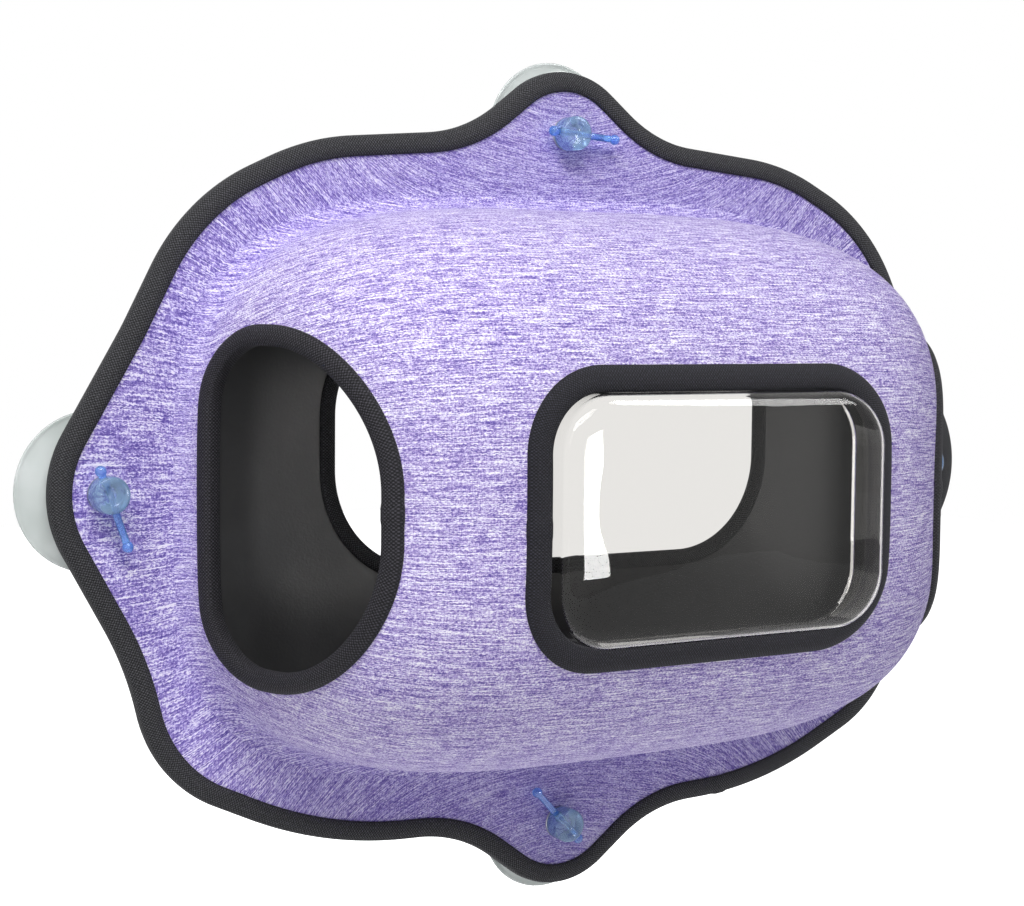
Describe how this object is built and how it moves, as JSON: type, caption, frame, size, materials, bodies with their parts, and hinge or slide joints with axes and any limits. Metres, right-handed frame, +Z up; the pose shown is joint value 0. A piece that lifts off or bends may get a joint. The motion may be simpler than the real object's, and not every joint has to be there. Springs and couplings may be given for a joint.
{
  "type": "window mounted cat perch",
  "caption": "Fabric bubble pod for a cat on a lobed flange, with side entries and a clear front dome, held to a window by suction cups with lock pins.",
  "frame": {"origin": "on the window pane's room side, at the middle of the pod's length and between the top and bottom cups", "axes": "+Z up, +Y out through the window pane, away from the room, +X along the pod to the right as seen from the room"},
  "size_m": [0.689, 0.2062, 0.523],
  "materials": {
    "outer_fabric": "heathered linen-look weave, lavender grey",
    "foam": "closed foam, moulded with the cover",
    "lining": "brushed black knit",
    "board": "satin black sheet",
    "binding": "ribbed charcoal tape",
    "window_tape": "ribbed blue-black tape",
    "clear_sheet": "clear pressed sheet, glossy",
    "cup_vinyl": "clear soft vinyl, faintly green grey",
    "pin_plastic": "translucent blue, glossy",
    "eyelet_metal": "nickel-grey, satin",
    "cushion_fabric": "black plush"
  },
  "bodies": {
    "pod": {"outer_cover": "outer_fabric", "foam_shell": "foam", "inner_lining": "lining", "rear_board": "board", "outlook_binding": "binding", "rim_binding": "binding", "left_entry_binding": "binding", "right_entry_binding": "binding", "window_binding": "window_tape", "bubble_window": "clear_sheet", "top_eyelet": "eyelet_metal", "bottom_eyelet": "eyelet_metal", "left_eyelet": "eyelet_metal", "right_eyelet": "eyelet_metal"},
    "cushion": {"floor_cushion": "cushion_fabric"},
    "top_cup": {"top_suction_cup": "cup_vinyl"},
    "top_pin": {"top_lock_pin": "pin_plastic"},
    "bottom_cup": {"bottom_suction_cup": "cup_vinyl"},
    "bottom_pin": {"bottom_lock_pin": "pin_plastic"},
    "left_cup": {"left_suction_cup": "cup_vinyl"},
    "left_pin": {"left_lock_pin": "pin_plastic"},
    "right_cup": {"right_suction_cup": "cup_vinyl"},
    "right_pin": {"right_lock_pin": "pin_plastic"}
  },
  "joints": [
    {"name": "cushion_lift", "type": "slide", "parent": "pod", "child": "cushion", "axis": [0, 0, 1], "range_m": [0, 0.06]},
    {"name": "top_cup_spin", "type": "hinge", "parent": "pod", "child": "top_cup", "pos_m": [0, 0, 0.216], "axis": [0, 1, 0], "continuous": true},
    {"name": "top_pin_slide", "type": "slide", "parent": "top_cup", "child": "top_pin", "axis": [-0.9976, 0, 0.0698], "range_m": [0, 0.0164]},
    {"name": "bottom_cup_spin", "type": "hinge", "parent": "pod", "child": "bottom_cup", "pos_m": [0, 0, -0.216], "axis": [0, 1, 0], "continuous": true},
    {"name": "bottom_pin_slide", "type": "slide", "parent": "bottom_cup", "child": "bottom_pin", "axis": [0.682, 0, -0.7314], "range_m": [0, 0.0164]},
    {"name": "left_cup_spin", "type": "hinge", "parent": "pod", "child": "left_cup", "pos_m": [-0.299, 0, 0.004], "axis": [0, 1, 0], "continuous": true},
    {"name": "left_pin_slide", "type": "slide", "parent": "left_cup", "child": "left_pin", "axis": [-0.342, 0, 0.9397], "range_m": [0, 0.0164]},
    {"name": "right_cup_spin", "type": "hinge", "parent": "pod", "child": "right_cup", "pos_m": [0.299, 0, 0.004], "axis": [0, 1, 0], "continuous": true},
    {"name": "right_pin_slide", "type": "slide", "parent": "right_cup", "child": "right_pin", "axis": [0.3746, 0, 0.9272], "range_m": [0, 0.0164]}
  ]
}
